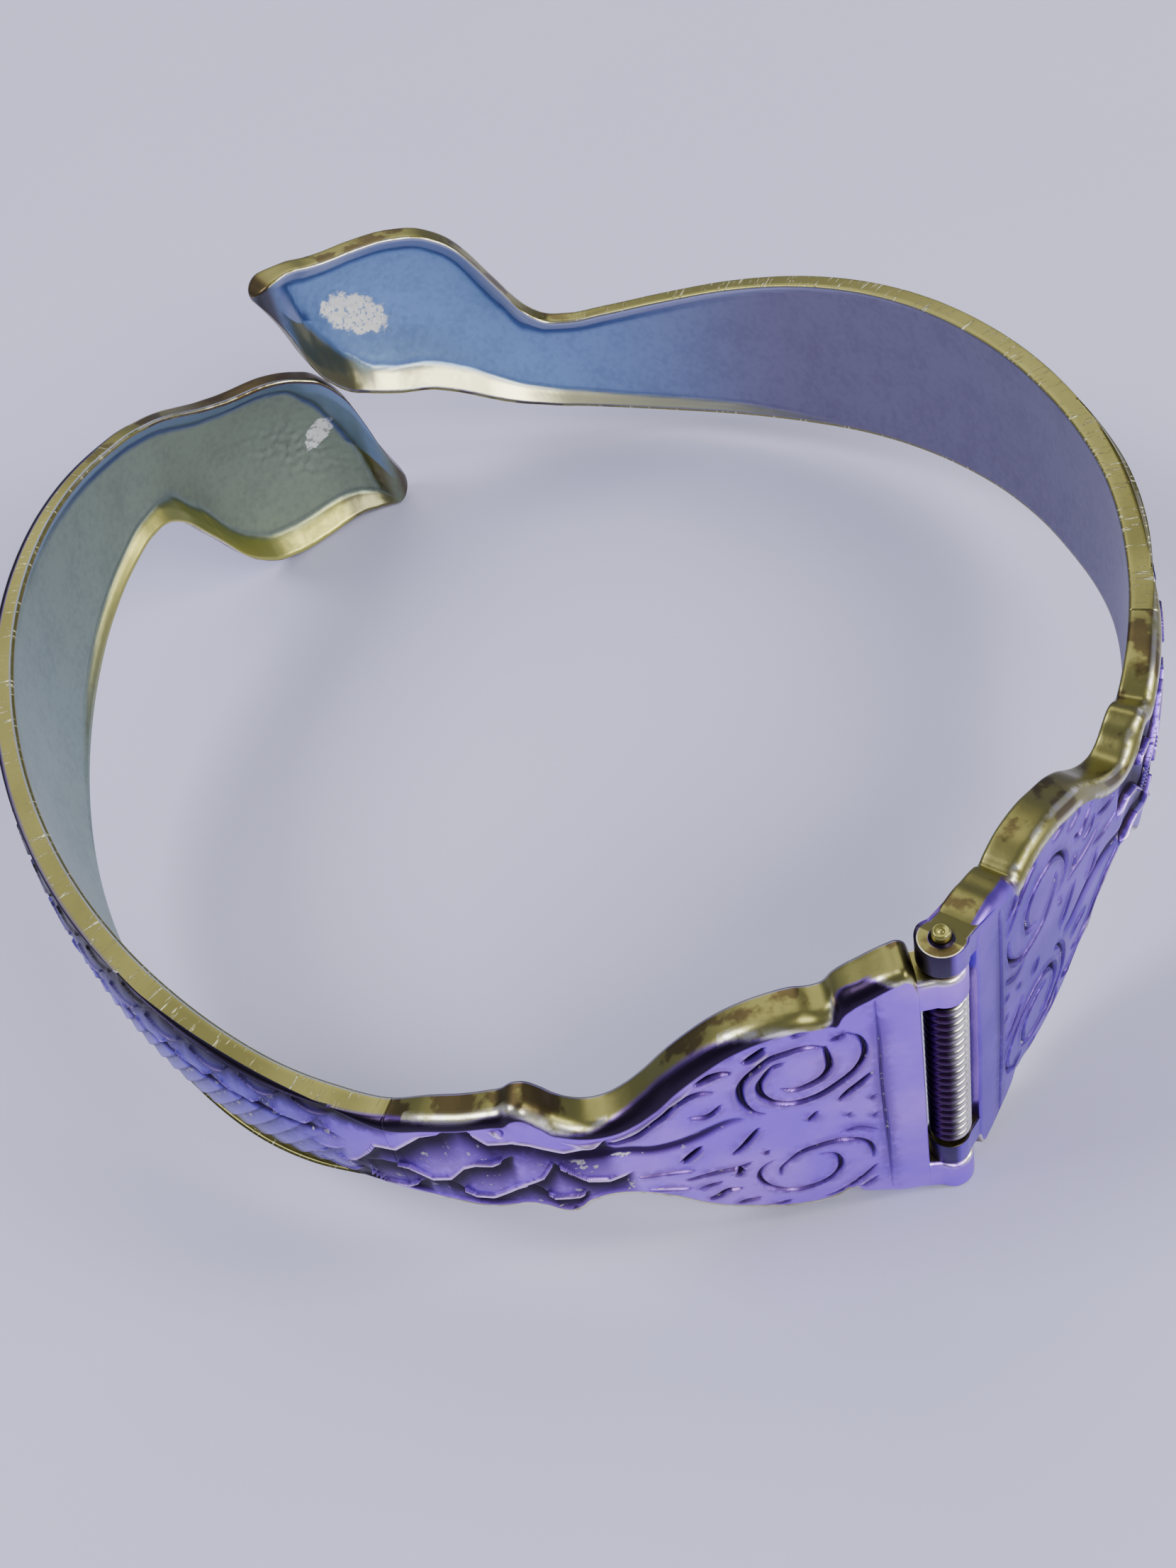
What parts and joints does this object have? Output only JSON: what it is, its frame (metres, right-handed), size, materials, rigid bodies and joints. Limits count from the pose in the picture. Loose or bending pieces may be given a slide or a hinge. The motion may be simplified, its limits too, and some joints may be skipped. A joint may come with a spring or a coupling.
{
  "type": "clamper bracelet",
  "caption": "Oval hinged bangle whose cast arms end in crossing serpent heads, held shut by a coil spring on the hinge pin.",
  "frame": {"origin": "centre of the wrist opening, halfway up the hinge", "axes": "+Z along the wrist and the hinge pin, +Y from the hinge to the crossing heads, +X towards the arm that moves"},
  "size_m": [0.0624, 0.0693, 0.0208],
  "materials": {
    "arms": "pale gold tone, silvery on the cast faces and yellower on the filed edges",
    "pin": "drawn wire with hammered ends",
    "spring": "bright wound wire"
  },
  "bodies": {
    "left_side": {"left_arm": "arms", "hinge_pin": "pin", "hinge_spring": "spring"},
    "right_side": {"right_arm": "arms"}
  },
  "joints": [
    {"name": "clamp_hinge", "type": "hinge", "parent": "left_side", "child": "right_side", "pos_m": [0, -0.0323, 0], "axis": [0, 0, -1], "range_deg": [0, 60], "stiffness_Nm_per_rad": 0.12, "springref_deg": -34.38}
  ]
}
